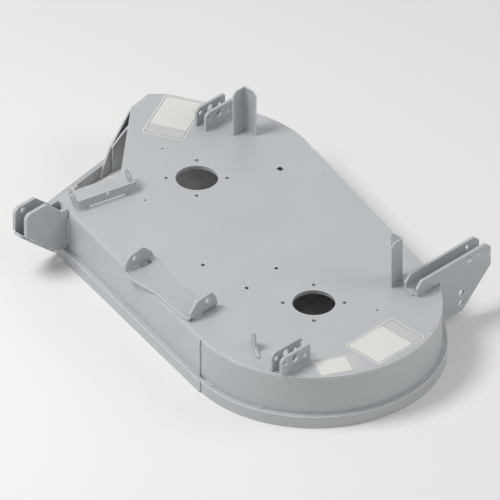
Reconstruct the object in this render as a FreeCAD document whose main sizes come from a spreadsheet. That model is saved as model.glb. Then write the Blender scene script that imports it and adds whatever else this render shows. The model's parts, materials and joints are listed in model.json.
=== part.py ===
import FreeCAD, Part
import math
import os
import Sketcher
from enum import IntEnum

# Welded steel deck of a two-blade ride-on mower with side discharge.
# Millimetres and degrees. X points to the operator's left, Y to the rear, Z up.
# The origin is the centre of the right (discharge side) spindle hole, on the top face of the deck.

SIZES = {
    # Spindles
    "spindle_spacing": 541.3,
    "spindle_heading": -16.6,
    "spindle_bore": 95.0,
    "bolt_circle": 135.5,
    "bolt_hole": 10.5,
    "doubler_diameter": 190.0,
    "doubler_bore": 97.0,
    "doubler_thickness": 6.4,
    # Deck shell
    "sheet_thickness": 4.8,
    "bend_radius": 4.8,
    "deck_depth": 129.0,
    "wall_radius": 282.0,
    "front_heading": -13.9,
    "skirt_step": 3.5,
    "front_fold_start": -90.0,
    "rear_slope_normal": 115.0,
    "corner_normal": 135.0,
    "corner_step": 43.0,
    "side_normal": 188.2,
    "chute_edge_normal": 220.2,
    "chute_edge_inset": 112.7,
    "notch_edge_offset": 98.6,
    "notch_edge_inset": 21.0,
    "chute_corner_round": 45.0,
    # Chamber walls and their weld tabs
    "left_wall_start": -106.4,
    "left_wall_end": 103.0,
    "right_wall_start": 40.0,
    "tab_length": 23.0,
    "tab_recess": 1.0,
    "left_tab_first": -89.0,
    "left_tab_pitch": 37.5,
    "left_tab_count": 6.0,
    "right_tab_rear": 48.9,
    "right_tab_middle": 70.4,
    "right_tab_side": 156.7,
    "side_tab_place": 26.0,
    "side_tab_length": 32.0,
    # Discharge side: the wall tops slope down to a toe at the opening
    "slope_setback": 8.2,
    "slope_run": 73.0,
    "slope_drop": 64.0,
    "toe_reach": 12.3,
    "toe_tip": 8.0,
    "return_reach": 55.4,
    "return_end_slope": 14.0,
    # Reinforcing band round the bottom edge
    "band_thickness": 12.0,
    "band_height": 30.0,
    "band_fold": 6.0,
    "front_band_start": 2.2,
    "left_band_start": -102.4,
    "side_band_joint": 150.0,
    # Front wheel bracket
    "front_bracket_place": -108.0,
    "front_bracket_plate": 8.0,
    "front_bracket_gap": 27.4,
    "front_bracket_reach": 128.5,
    "front_bracket_top": 52.0,
    "front_bracket_nose": 6.0,
    "front_bracket_foot": 27.0,
    "front_bracket_band_gap": 4.5,
    "front_bracket_flat": 65.0,
    "front_bracket_shoulder": 17.8,
    "front_bracket_shoulder_top": 10.0,
    "front_bracket_round": 15.0,
    "front_bracket_hole": 13.0,
    "front_bracket_hole_reach": 103.4,
    "front_bracket_hole_rise": 38.3,
    "sole_thickness": 6.35,
    "sole_rear": 13.7,
    "sole_overhang": 7.0,
    "sole_end_round": 9.0,
    "sole_tab_round": 5.0,
    # Chute hinge bracket
    "hinge_place": -21.5,
    "hinge_inset": 19.5,
    "hinge_length": 149.5,
    "hinge_thickness": 4.0,
    "hinge_web_top": 29.0,
    "hinge_hole_back": 30.0,
    "hinge_hole_rise": 31.0,
    "hinge_hole": 9.0,
    "hinge_ear_round": 15.0,
    "hinge_shoulder": 125.0,
    "hinge_heel": 21.0,
    "hinge_heel_rise": 21.0,
    "hinge_heel_round": 12.0,
    "hinge_foot_length": 28.5,
    "hinge_foot_rise": 6.5,
    "hinge_notch_width": 5.0,
    "hinge_notch_depth": 10.0,
    # Front hanger saddle
    "saddle_right": 146.65,
    "saddle_left": 380.0,
    "saddle_thickness": 6.35,
    "right_ear_front": -53.6,
    "right_ear_length": 89.0,
    "right_ear_top": 48.0,
    "left_ear_front": -81.6,
    "left_ear_length": 89.0,
    "left_ear_top": 47.0,
    "saddle_hole": 13.0,
    "saddle_hole_line": -24.6,
    "saddle_hole_rise": 31.0,
    "saddle_waist": 20.0,
    "saddle_rear_neck": 121.0,
    "saddle_rear_step": 6.0,
    "saddle_front_neck": 104.0,
    "saddle_front_step": 7.0,
    "saddle_tab_length": 31.0,
    "saddle_tab_top": 16.0,
    "saddle_window": 9.0,
    "right_ear_tab_place": 3.4,
    "left_ear_tab_place": -53.6,
    # Lift lugs
    "lug_thickness": 6.35,
    "lug_gap": 22.45,
    "lug_length": 90.5,
    "lug_height": 47.0,
    "lug_front_round": 14.0,
    "lug_rear_round": 9.0,
    "lug_end_hole": 12.0,
    "lug_middle_hole": 18.0,
    "lug_hole_front": 14.0,
    "lug_hole_middle": 43.3,
    "lug_hole_rear": 73.7,
    "lug_hole_rise": 30.3,
    "lug_rear_hole_rise": 23.8,
    "rear_lug_across": -111.0,
    "rear_lug_inset": 144.0,
    "front_lug_across": 149.16,
    "front_lug_inset": 31.24,
    # Guard angles
    "guard_thickness": 3.0,
    "guard_bend": 3.0,
    "guard_leg": 38.0,
    "guard_height": 117.0,
    "guard_corner_cut": 9.0,
    "right_guard_across": -59.0,
    "right_guard_along": 208.0,
    "left_guard_across": 82.76,
    "left_guard_along": 196.24,
    # Rear wheel bracket
    "rear_bracket_across": 147.76,
    "rear_bracket_inset": 108.46,
    "rear_bracket_plate": 6.35,
    "rear_bracket_gap": 29.15,
    "rear_bracket_length": 230.0,
    "rear_bracket_top": 37.5,
    "rear_bracket_nose": 23.0,
    "rear_bracket_nose_cut": 14.5,
    "rear_bracket_step": 28.0,
    "rear_bracket_step_rise": 5.0,
    "gusset_low": 106.0,
    "gusset_low_step": 5.8,
    "gusset_low_rear": 140.6,
    "gusset_rear_low": 25.0,
    "gusset_band_gap": 1.2,
    "axle_hole": 17.0,
    "pin_hole": 12.0,
    "wheel_hole": 16.0,
    "axle_hole_place": 162.0,
    "pin_hole_place": 192.5,
    "upper_hole_rise": 22.0,
    "wheel_hole_place": 138.0,
    "wheel_hole_high": 57.0,
    "wheel_hole_low": 84.0,
    "channel_tab_length": 18.0,
    "channel_tab_place": 142.5,
    "channel_drain_hole": 8.0,
    "channel_drain_front": 17.0,
    # Spring anchor
    "anchor_heading": -30.7,
    "anchor_across": 4.26,
    "anchor_inset": 95.81,
    "anchor_length": 70.0,
    "anchor_thickness": 6.0,
    "anchor_height": 41.0,
    "anchor_tail": 4.0,
    "anchor_toe_rise": 8.0,
    "anchor_toe_reach": 44.0,
    "anchor_horn_rear": 14.0,
    "anchor_horn_width": 17.0,
    "anchor_neck_rise": 16.0,
    "anchor_horn_round": 3.4,
    # Label plates
    "label_thickness": 0.4,
    # Clearances and cutting room
    "fit_clearance": 0.3,
    "slot_clearance": 0.6,
    "cut_room": 6.0,
}

# Small holes of the deck: place across and along, and width. Round unless the name says square
HOLE_SIZES = ("across", "along", "width")
HOLES = {
    "drain_right": (-134.0, 26.0, 6.5),
    "drain_front": (-20.0, -141.0, 6.5),
    "drain_left": (118.3, 78.6, 6.5),
    "clip_left": (78.3, -118.4, 6.5),
    "clip_middle": (368.0, -120.0, 10.0),
    "square_rear": (105.0, 155.5, 14.0),
    "square_middle": (245.0, -225.0, 9.5),
    "square_left": (375.0, -219.0, 9.5),
}

# Label plates: a corner, the heading of the side from it, the length of that side, the width to
# its left and the corner radius
LABEL_SIZES = ("across", "along", "heading", "length", "width", "round")
LABELS = {
    "discharge_label": (-211.3, 36.5, 25.0, 98.0, 156.0, 10.0),
    "left_label": (162.3, -67.4, 0.0, 104.0, 146.0, 7.0),
    "small_label": (154.7, -162.2, -26.2, 59.3, 100.6, 4.0),
}

# Tabs of the front bracket's sole: middle, up the slope from the foot, and length
SOLE_TAB_SIZES = ("place", "length")
SOLE_TABS = {
    "sole_tab_rear": (25.7, 24.0),
    "sole_tab_middle": (67.5, 16.0),
    "sole_tab_nose": (108.7, 24.0),
}

# Holes and labels that are measured from the left spindle. The others are measured from the right one
FROM_LEFT_SPINDLE = ("drain_left", "clip_left", "left_label", "small_label")

# Side profiles of the saddle's ears, front to rear: share of the length, share of the height, radius
RIGHT_EAR = [(0.02, 0.5, 9.0), (0.17, 0.9, 12.0), (0.64, 1.0, 12.0), (0.93, 0.4, 14.0)]
LEFT_EAR = [(0.03, 0.35, 14.0), (0.30, 0.93, 16.0), (0.80, 1.0, 10.0), (0.95, 0.5, 8.0)]

for names, table in ((HOLE_SIZES, HOLES), (LABEL_SIZES, LABELS), (SOLE_TAB_SIZES, SOLE_TABS)):
    for piece, numbers in table.items():
        for name, number in zip(names, numbers):
            SIZES[f"{piece}_{name}"] = number

DEGREES_PER_RADIAN = 180.0 / math.pi

os.makedirs("parts", exist_ok=True)
doc = FreeCAD.newDocument("MowerDeck")


class SketchPoint(IntEnum):
    """The points of a line, an arc or a circle in a sketch."""

    START = 1
    END = 2
    CENTRE = 3


class Dimension:
    """A length or an angle: its number now, and the formula over the sheet that drives it."""

    def __init__(self, number, text):
        self.number = number
        self.text = text

    def __add__(self, other):
        other = dimension(other)
        return Dimension(self.number + other.number, f"({self.text} + {other.text})")

    def __sub__(self, other):
        other = dimension(other)
        return Dimension(self.number - other.number, f"({self.text} - {other.text})")

    def __rsub__(self, other):
        return dimension(other) - self

    def __mul__(self, other):
        other = dimension(other)
        return Dimension(self.number * other.number, f"({self.text} * {other.text})")

    def __truediv__(self, other):
        other = dimension(other)
        return Dimension(self.number / other.number, f"({self.text} / {other.text})")

    def __neg__(self):
        return Dimension(-self.number, f"(0 - {self.text})")

    __radd__ = __add__
    __rmul__ = __mul__


def dimension(value):
    """A plain number becomes a dimension; a dimension stays as it is."""
    if isinstance(value, Dimension):
        return value
    return Dimension(float(value), repr(float(value)))


def size(alias):
    return Dimension(SIZES[alias], f"Sizes.{alias}")


def cosine(angle):
    angle = dimension(angle)
    return Dimension(math.cos(math.radians(angle.number)), f"cos({angle.text})")


def sine(angle):
    angle = dimension(angle)
    return Dimension(math.sin(math.radians(angle.number)), f"sin({angle.text})")


def root(value):
    return Dimension(math.sqrt(value.number), f"sqrt({value.text})")


def arc_cosine(ratio):
    return Dimension(math.degrees(math.acos(ratio.number)), f"(acos({ratio.text}) / 1 deg)")


def arc_tangent(ratio):
    return Dimension(math.degrees(math.atan(ratio.number)), f"(atan({ratio.text}) / 1 deg)")


def fill_sheet():
    """The driving sizes, one row each: the name in column A, the aliased number in column B."""
    sheet = doc.addObject("Spreadsheet::Sheet", "Sizes")
    for row, (alias, number) in enumerate(SIZES.items(), start=1):
        sheet.set(f"A{row}", alias)
        sheet.set(f"B{row}", str(number))
        sheet.setAlias(f"B{row}", alias)
    doc.recompute()


def bind(feature, prop, value):
    """Drives one property by the sheet."""
    feature.setExpression(prop, value.text)


# Points, lines and stations

def polar(centre, angle, radius):
    """The point at an angle on a circle."""
    return (centre[0] + cosine(angle) * radius, centre[1] + sine(angle) * radius)


def on_line(line, along, grow=0.0):
    """A point on a line given by its normal and offset, moved outwards by grow."""
    normal, offset = line
    reach = offset + grow
    x = cosine(normal) * reach - sine(normal) * along
    y = sine(normal) * reach + cosine(normal) * along
    return (x, y)


def meet(line_a, line_b, grow=0.0):
    """Where two lines cross, both moved outwards by grow."""
    normal_a, offset_a = line_a
    normal_b, offset_b = line_b
    reach_a = offset_a + grow
    reach_b = offset_b + grow
    turn = sine(normal_b - normal_a)
    x = (reach_a * sine(normal_b) - reach_b * sine(normal_a)) / turn
    y = (reach_b * cosine(normal_a) - reach_a * cosine(normal_b)) / turn
    return (x, y)


def shifted(point, heading, along, across=0.0):
    """A point moved along a heading, and across it to the left."""
    x = point[0] + cosine(heading) * along - sine(heading) * across
    y = point[1] + sine(heading) * along + cosine(heading) * across
    return (x, y)


class Corner:
    """A corner of an outline, rounded if it has a round, with an arc to the next if it has an arc."""

    def __init__(self, point, rounded=None, arc=None, clockwise=False):
        self.x = dimension(point[0])
        self.y = dimension(point[1])
        self.rounded = rounded
        self.arc = arc
        self.clockwise = clockwise

    def vector(self):
        return FreeCAD.Vector(self.x.number, self.y.number, 0)


# Sketches and features

def new_body(label):
    body = doc.addObject("PartDesign::Body", label)
    body.Label = label
    return body


def place(body, x=0.0, y=0.0, z=0.0, axis=(0, 0, 1), angle=0.0):
    """Places a body by the sheet, turned about one axis."""
    x, y, z, angle = (dimension(value) for value in (x, y, z, angle))
    turn = FreeCAD.Rotation(FreeCAD.Vector(*axis), angle.number)
    body.Placement = FreeCAD.Placement(FreeCAD.Vector(x.number, y.number, z.number), turn)
    bind(body, "Placement.Base.x", x)
    bind(body, "Placement.Base.y", y)
    bind(body, "Placement.Base.z", z)
    if angle.number:
        bind(body, "Placement.Rotation.Angle", angle)


def new_sketch(body, name, role, lift=None):
    """A sketch on one of the body's own origin planes, lifted along the plane's normal."""
    sketch = body.newObject("Sketcher::SketchObject", f"{body.Name}_{name}")
    plane = next(item for item in body.Origin.OriginFeatures if item.Role == role)
    sketch.AttachmentSupport = [(plane, "")]
    sketch.MapMode = "FlatFace"
    if lift is not None:
        lift = dimension(lift)
        sketch.AttachmentOffset = FreeCAD.Placement(FreeCAD.Vector(0, 0, lift.number), FreeCAD.Rotation())
        bind(sketch, "AttachmentOffset.Base.z", lift)
    return sketch


def cross_sketch(body, name, point, heading):
    """An upright sketch across a heading, its X axis to the left of it and its Y axis up."""
    sketch = new_sketch(body, name, "YZ_Plane")
    x, y = point
    turn = FreeCAD.Rotation(FreeCAD.Vector(0, 1, 0), heading.number)
    sketch.AttachmentOffset = FreeCAD.Placement(FreeCAD.Vector(y.number, 0, x.number), turn)
    bind(sketch, "AttachmentOffset.Base.x", y)
    bind(sketch, "AttachmentOffset.Base.z", x)
    bind(sketch, "AttachmentOffset.Rotation.Angle", heading)
    return sketch


def constrain(sketch, kind, *items):
    """Adds a constraint; where the last item is a dimension, the sheet drives it."""
    value = items[-1]
    if not isinstance(value, Dimension):
        return sketch.addConstraint(Sketcher.Constraint(kind, *items))
    index = sketch.addConstraint(Sketcher.Constraint(kind, *items[:-1], value.number))
    bind(sketch, f"Constraints[{index}]", value)
    return index


def fix_point(sketch, item, position, corner):
    constrain(sketch, "DistanceX", -1, 1, item, position, corner.x)
    constrain(sketch, "DistanceY", -1, 1, item, position, corner.y)


def arc_between(start, end, radius, clockwise):
    """The arc from start to end, under half a turn, as a sketch arc that runs anticlockwise."""
    if clockwise:
        start, end = end, start
    chord = end - start
    middle = (start + end) * 0.5
    rise = math.sqrt(max(radius * radius - chord.Length * chord.Length / 4.0, 0.0))
    left = FreeCAD.Vector(-chord.y, chord.x, 0).normalize()
    centre = middle + left * rise
    first = math.atan2(start.y - centre.y, start.x - centre.x)
    last = math.atan2(end.y - centre.y, end.x - centre.x)
    if last < first:
        last += 2.0 * math.pi
    circle = Part.Circle(centre, FreeCAD.Vector(0, 0, 1), radius)
    return Part.ArcOfCircle(circle, first, last)


def rounding_ends(before, corner, after):
    """Where the rounding of a corner starts and ends, and whether it turns clockwise."""
    here = corner.vector()
    back = (before - here).normalize()
    ahead = (after - here).normalize()
    half = back.getAngle(ahead) / 2.0
    trim = corner.rounded.number / math.tan(half)
    clockwise = back.x * ahead.y - back.y * ahead.x > 0.0
    return here + back * trim, here + ahead * trim, clockwise


def draw_outline(sketch, corners):
    """A closed outline. Each corner is held to the origin, and each radius is driven by the sheet."""
    count = len(corners)
    spots = [corner.vector() for corner in corners]
    arrive = list(spots)
    leave = list(spots)
    turns = [False] * count
    for index, corner in enumerate(corners):
        if corner.rounded is not None:
            ends = rounding_ends(spots[index - 1], corner, spots[(index + 1) % count])
            arrive[index], leave[index], turns[index] = ends
    edges = []
    for index, corner in enumerate(corners):
        start = leave[index]
        end = arrive[(index + 1) % count]
        if corner.arc is None:
            item = sketch.addGeometry(Part.LineSegment(start, end), False)
            edges.append((item, SketchPoint.START, SketchPoint.END))
        else:
            arc = arc_between(start, end, corner.arc.number, corner.clockwise)
            item = sketch.addGeometry(arc, False)
            ends = (SketchPoint.END, SketchPoint.START) if corner.clockwise else (SketchPoint.START, SketchPoint.END)
            edges.append((item, *ends))
    for index, corner in enumerate(corners):
        before, _, before_end = edges[index - 1]
        item, item_start, _ = edges[index]
        if corner.rounded is None:
            constrain(sketch, "Coincident", before, before_end, item, item_start)
            fix_point(sketch, item, item_start, corner)
        else:
            arc = arc_between(arrive[index], leave[index], corner.rounded.number, turns[index])
            bend = sketch.addGeometry(arc, False)
            ends = (SketchPoint.END, SketchPoint.START) if turns[index] else (SketchPoint.START, SketchPoint.END)
            bend_start, bend_end = ends
            point = sketch.addGeometry(Part.Point(spots[index]), True)
            constrain(sketch, "Tangent", before, before_end, bend, bend_start)
            constrain(sketch, "Tangent", bend, bend_end, item, item_start)
            constrain(sketch, "PointOnObject", point, SketchPoint.START, before)
            constrain(sketch, "PointOnObject", point, SketchPoint.START, item)
            fix_point(sketch, point, SketchPoint.START, corner)
            constrain(sketch, "Radius", bend, corner.rounded)
        if corner.arc is not None:
            constrain(sketch, "Radius", item, corner.arc)


def draw_circle(sketch, point, diameter):
    corner = Corner(point)
    circle = Part.Circle(corner.vector(), FreeCAD.Vector(0, 0, 1), diameter.number / 2.0)
    item = sketch.addGeometry(circle, False)
    fix_point(sketch, item, SketchPoint.CENTRE, corner)
    constrain(sketch, "Diameter", item, diameter)


def draw_block(sketch, point, heading, inner, outer, length):
    """A rectangle that lies across a heading, from inner to outer along it."""
    half = length / 2.0
    draw_outline(sketch, [
        Corner(shifted(point, heading, inner, -half)),
        Corner(shifted(point, heading, outer, -half)),
        Corner(shifted(point, heading, outer, half)),
        Corner(shifted(point, heading, inner, half)),
    ])


def pad(sketch, length, downwards=False):
    body = sketch.getParentGeoFeatureGroup()
    feature = body.newObject("PartDesign::Pad", f"{sketch.Name}_pad")
    feature.Profile = sketch
    bind(feature, "Length", length)
    feature.Reversed = downwards
    body.Tip = feature
    return feature


def pocket(sketch, length=None, along_normal=False):
    """Cuts a sketch out, right through the body on both sides where no length is given."""
    body = sketch.getParentGeoFeatureGroup()
    feature = body.newObject("PartDesign::Pocket", f"{sketch.Name}_cut")
    feature.Profile = sketch
    if length is None:
        feature.Type = "ThroughAll"
        feature.SideType = "Symmetric"
    else:
        bind(feature, "Length", length)
        feature.Reversed = along_normal
    body.Tip = feature
    return feature


# The boundary of the deck, as lines and circles about the spindles

sheet_thickness = size("sheet_thickness")
wall_radius = size("wall_radius")
deck_depth = size("deck_depth")
clearance = size("fit_clearance")
slot_clearance = size("slot_clearance")
tab_rise = sheet_thickness - size("tab_recess")
cut_room = size("cut_room")
bend_inside = size("bend_radius")
bend_outside = bend_inside + sheet_thickness
wall_height = deck_depth - sheet_thickness

right_spindle = (dimension(0.0), dimension(0.0))
left_spindle = polar(right_spindle, size("spindle_heading"), size("spindle_spacing"))

rear_normal = size("spindle_heading") + 90.0

# The skirt stands a small step outside the circle of the left chamber
front_normal = size("front_heading") - 90.0
front_offset = (size("spindle_spacing") * cosine(front_normal - size("spindle_heading"))
                + wall_radius + size("skirt_step"))
front_line = (front_normal, front_offset)
fold_line = (front_normal, front_offset - bend_outside)
rear_line = (rear_normal, wall_radius)
slope_line = (size("rear_slope_normal"), wall_radius)
corner_line = (size("corner_normal"), wall_radius + size("corner_step"))
side_line = (size("side_normal"), wall_radius)
chute_line = (size("chute_edge_normal"), wall_radius - size("chute_edge_inset"))
notch_line = (size("front_heading") + 180.0, size("notch_edge_offset"))

# Side of the top plate: where it meets the chute edge, and the middle of the wall tab behind that
side_corner = meet(side_line, chute_line)
side_tab = shifted(side_corner, size("side_normal") - 90.0, size("side_tab_place"))

# Where a curved wall has left the line of a straight one by the thickness of the sheet
wall_parting = root(wall_radius * wall_radius
                    - (wall_radius - sheet_thickness) * (wall_radius - sheet_thickness))
parting_angle = arc_cosine((wall_radius - sheet_thickness) / wall_radius)


def along_front(point):
    """How far along the front line a point lies."""
    return cosine(front_normal) * point[1] - sine(front_normal) * point[0]


front_fold_end = along_front(polar(left_spindle, size("left_wall_start"), wall_radius)) - clearance


def strip(body, name, stations, inner, outer, top, height, fold=None):
    """A plate on edge that follows the stations, between two offsets from the wall line.

    A station is (point function of the offset, kind), where the kind is "line", "fold" or "arc".
    An arc runs about a spindle from this station to the next.
    """
    inner = dimension(inner)
    outer = dimension(outer)
    corners = []
    for point, kind in stations:
        rounded = fold + (outer - inner) if kind == "fold" else None
        arc = wall_radius + outer if kind == "arc" else None
        corners.append(Corner(point(outer), rounded, arc))
    for index in reversed(range(len(stations))):
        point, kind = stations[index]
        rounded = fold if kind == "fold" else None
        from_arc = index > 0 and stations[index - 1][1] == "arc"
        arc = wall_radius + inner if from_arc else None
        corners.append(Corner(point(inner), rounded, arc, clockwise=True))
    sketch = new_sketch(body, name, "XY_Plane", top)
    draw_outline(sketch, corners)
    return pad(sketch, height, downwards=True)


def line_station(line, along, kind="line"):
    return (lambda grow: on_line(line, along, grow), kind)


def fold_station(line_a, line_b):
    return (lambda grow: meet(line_a, line_b, grow), "fold")


def circle_station(centre, angle, kind="arc"):
    return (lambda grow: polar(centre, angle, wall_radius + grow), kind)


# Deck plate

def wall_slots(sketch):
    """Slots and rim notches of the top plate, where the tabs of the walls come through."""
    inner = wall_radius - sheet_thickness - slot_clearance
    slot_outer = wall_radius + slot_clearance
    rim_outer = wall_radius + cut_room
    length = size("tab_length") + slot_clearance + slot_clearance
    count = int(SIZES["left_tab_count"])
    for index in range(count):
        angle = size("left_tab_first") + size("left_tab_pitch") * index
        inside = index == count - 1
        draw_block(sketch, left_spindle, angle, inner, slot_outer if inside else rim_outer, length)
    draw_block(sketch, right_spindle, size("right_tab_rear"), inner, slot_outer, length)
    draw_block(sketch, right_spindle, size("right_tab_middle"), inner, rim_outer, length)
    draw_block(sketch, right_spindle, size("right_tab_side"), inner, slot_outer, length)
    side_length = size("side_tab_length") + slot_clearance + slot_clearance
    side_inner = -sheet_thickness - slot_clearance
    draw_block(sketch, side_tab, size("side_normal"), side_inner, cut_room, side_length)


def deck_plate():
    body = new_body("deck_plate")
    middle = (size("left_wall_start") + rear_normal) / 2.0
    sketch = new_sketch(body, "top", "XY_Plane")
    draw_outline(sketch, [
        Corner(on_line(fold_line, size("front_fold_start"))),
        Corner(on_line(fold_line, front_fold_end)),
        Corner(polar(left_spindle, size("left_wall_start"), wall_radius), arc=wall_radius),
        Corner(polar(left_spindle, middle, wall_radius), arc=wall_radius),
        Corner(polar(left_spindle, rear_normal, wall_radius)),
        Corner(polar(right_spindle, rear_normal, wall_radius), arc=wall_radius),
        Corner(polar(right_spindle, size("rear_slope_normal"), wall_radius)),
        Corner(meet(slope_line, corner_line)),
        Corner(meet(corner_line, side_line)),
        Corner(side_corner),
        Corner(meet(chute_line, notch_line), rounded=size("chute_corner_round")),
        Corner(on_line(front_line, -size("notch_edge_offset"), -size("notch_edge_inset"))),
    ])
    pad(sketch, sheet_thickness, downwards=True)

    # Front skirt, folded down with the plate
    start = on_line((front_normal, dimension(0.0)), size("front_fold_start"))
    skirt = cross_sketch(body, "skirt", start, size("front_heading"))
    face = -front_offset
    draw_outline(skirt, [
        Corner((face + bend_outside, 0.0), arc=bend_outside),
        Corner((face, -bend_outside)),
        Corner((face, -deck_depth)),
        Corner((face + sheet_thickness, -deck_depth)),
        Corner((face + sheet_thickness, -bend_outside), arc=bend_inside, clockwise=True),
        Corner((face + bend_outside, -sheet_thickness)),
    ])
    pad(skirt, front_fold_end - size("front_fold_start"))

    # Spindle holes and bolt holes
    holes = new_sketch(body, "spindle_holes", "XY_Plane")
    for centre in (right_spindle, left_spindle):
        draw_spindle_holes(holes, centre, size("spindle_bore"))
    pocket(holes)

    openings = new_sketch(body, "wall_slots", "XY_Plane")
    wall_slots(openings)
    pocket(openings, sheet_thickness + cut_room)

    punched = new_sketch(body, "punched_holes", "XY_Plane")
    draw_punched_holes(punched)
    pocket(punched, sheet_thickness + cut_room)


def draw_spindle_holes(sketch, centre, bore):
    draw_circle(sketch, centre, bore)
    for index in range(4):
        draw_circle(sketch, polar(centre, 45.0 + 90.0 * index, size("bolt_circle") / 2.0), size("bolt_hole"))


def measured_place(name):
    """Where a hole or a label lies, from the spindle that it is measured from."""
    centre = left_spindle if name in FROM_LEFT_SPINDLE else right_spindle
    return (centre[0] + size(f"{name}_across"), centre[1] + size(f"{name}_along"))


def draw_punched_holes(sketch):
    """The small round and square holes of the top plate."""
    for name in HOLES:
        point = measured_place(name)
        width = size(f"{name}_width")
        if name.startswith("square"):
            draw_block(sketch, point, 0.0, -width / 2.0, width / 2.0, width)
        else:
            draw_circle(sketch, point, width)


# Chamber walls

def draw_tab(sketch, angle):
    """A weld tab in plan: a short stretch of a curved wall about the origin."""
    half = size("tab_length") / wall_radius * (DEGREES_PER_RADIAN / 2.0)
    inner = wall_radius - sheet_thickness
    origin = (dimension(0.0), dimension(0.0))
    draw_outline(sketch, [
        Corner(polar(origin, angle - half, inner)),
        Corner(polar(origin, angle - half, wall_radius), arc=wall_radius),
        Corner(polar(origin, angle + half, wall_radius)),
        Corner(polar(origin, angle + half, inner), arc=inner, clockwise=True),
    ])


def left_chamber_wall():
    """Modelled about its own spindle, so that its tabs are a polar pattern."""
    body = new_body("left_chamber_wall")
    place(body, left_spindle[0], left_spindle[1])
    origin = (dimension(0.0), dimension(0.0))
    start = size("left_wall_start")
    sweep = size("left_wall_end") - start
    strip(body, "wall", [
        circle_station(origin, start),
        circle_station(origin, start + sweep / 2.0),
        circle_station(origin, size("left_wall_end"), "line"),
    ], -sheet_thickness, 0.0, -sheet_thickness, wall_height)
    tab = new_sketch(body, "tab", "XY_Plane", -sheet_thickness)
    draw_tab(tab, size("left_tab_first"))
    tab_pad = pad(tab, tab_rise)
    pattern = body.newObject("PartDesign::PolarPattern", "left_chamber_wall_tabs")
    pattern.Originals = [tab_pad]
    axis = next(item for item in body.Origin.OriginFeatures if item.Role == "Z_Axis")
    pattern.Axis = (axis, [""])
    bind(pattern, "Occurrences", size("left_tab_count"))
    bind(pattern, "Angle", size("left_tab_pitch") * (size("left_tab_count") - 1.0))
    body.Tip = pattern


def draw_slope_cut(sketch):
    """What the sloping tops at the discharge leave away, in the Y-Z plane."""
    toe = on_line(side_line, -size("toe_reach"))[1]
    slope_top = side_corner[1] - size("slope_setback")
    draw_outline(sketch, [
        Corner((slope_top, cut_room)),
        Corner((slope_top, -sheet_thickness)),
        Corner((slope_top - size("slope_run"), -size("slope_drop"))),
        Corner((toe, size("toe_tip") - deck_depth)),
        Corner((-wall_radius, size("toe_tip") - deck_depth)),
        Corner((-wall_radius, cut_room)),
    ])


def right_chamber_wall():
    body = new_body("right_chamber_wall")
    start = size("right_wall_start")
    end = size("side_normal") - parting_angle - clearance / wall_radius * DEGREES_PER_RADIAN
    strip(body, "wall", [
        circle_station(right_spindle, start),
        circle_station(right_spindle, (start + end) / 2.0),
        circle_station(right_spindle, end, "line"),
    ], -sheet_thickness, 0.0, -sheet_thickness, wall_height)
    tabs = new_sketch(body, "tabs", "XY_Plane", -sheet_thickness)
    for alias in ("right_tab_rear", "right_tab_middle", "right_tab_side"):
        draw_tab(tabs, size(alias))
    pad(tabs, tab_rise)
    slope = new_sketch(body, "slope", "YZ_Plane")
    draw_slope_cut(slope)
    pocket(slope)


def rear_wall():
    body = new_body("rear_wall")
    gap = wall_parting + clearance
    strip(body, "wall", [
        line_station(rear_line, gap - size("spindle_spacing")),
        line_station(rear_line, -gap),
    ], -sheet_thickness, 0.0, -sheet_thickness, wall_height)


def right_rear_wall():
    body = new_body("right_rear_wall")
    strip(body, "wall", [
        line_station(slope_line, wall_parting + clearance),
        fold_station(slope_line, corner_line),
        fold_station(corner_line, side_line),
        line_station(side_line, -size("toe_reach")),
    ], -sheet_thickness, 0.0, -sheet_thickness, wall_height, bend_inside)
    tab = new_sketch(body, "tab", "XY_Plane", -sheet_thickness)
    draw_block(tab, side_tab, size("side_normal"), -sheet_thickness, 0.0, size("side_tab_length"))
    pad(tab, tab_rise)
    slope = new_sketch(body, "slope", "YZ_Plane")
    draw_slope_cut(slope)
    pocket(slope)


def discharge_front_return():
    """Low angle that carries the band from the skirt round to the side of the opening."""
    body = new_body("discharge_front_return")
    top = size("band_height") - deck_depth
    strip(body, "angle", [
        line_station(side_line, size("return_reach")),
        fold_station(side_line, front_line),
        line_station(front_line, size("front_fold_start") - clearance),
    ], -sheet_thickness, 0.0, top, size("band_height"), bend_inside)
    end = on_line(side_line, size("return_reach"))[1]
    cut = new_sketch(body, "end_slope", "YZ_Plane")
    draw_outline(cut, [
        Corner((end - size("return_end_slope"), top + cut_room)),
        Corner((end - size("return_end_slope"), top)),
        Corner((end + cut_room, top - size("return_end_slope") - cut_room)),
        Corner((end + cut_room, top + cut_room)),
    ])
    pocket(cut)


# Reinforcing bars round the bottom edge

def band(label, stations):
    body = new_body(label)
    thickness = size("band_thickness")
    height = size("band_height")
    strip(body, "bar", stations, 0.0, thickness, height - deck_depth, height, size("band_fold"))


def bands():
    joint = -size("side_band_joint")
    start = size("left_band_start")
    front_end = along_front(polar(left_spindle, start, wall_radius)) - clearance
    band("front_band", [
        line_station(front_line, size("front_band_start")),
        line_station(front_line, front_end),
    ])
    band("left_band", [
        circle_station(left_spindle, start),
        circle_station(left_spindle, (start + rear_normal) / 2.0),
        circle_station(left_spindle, rear_normal, "line"),
    ])
    band("rear_band", [
        line_station(rear_line, clearance - size("spindle_spacing")),
        circle_station(right_spindle, rear_normal),
        circle_station(right_spindle, size("rear_slope_normal"), "line"),
        fold_station(slope_line, corner_line),
        fold_station(corner_line, side_line),
        line_station(side_line, joint - clearance),
    ])
    band("right_band", [
        line_station(side_line, joint),
        fold_station(side_line, front_line),
        line_station(front_line, size("front_band_start") - clearance),
    ])


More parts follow.
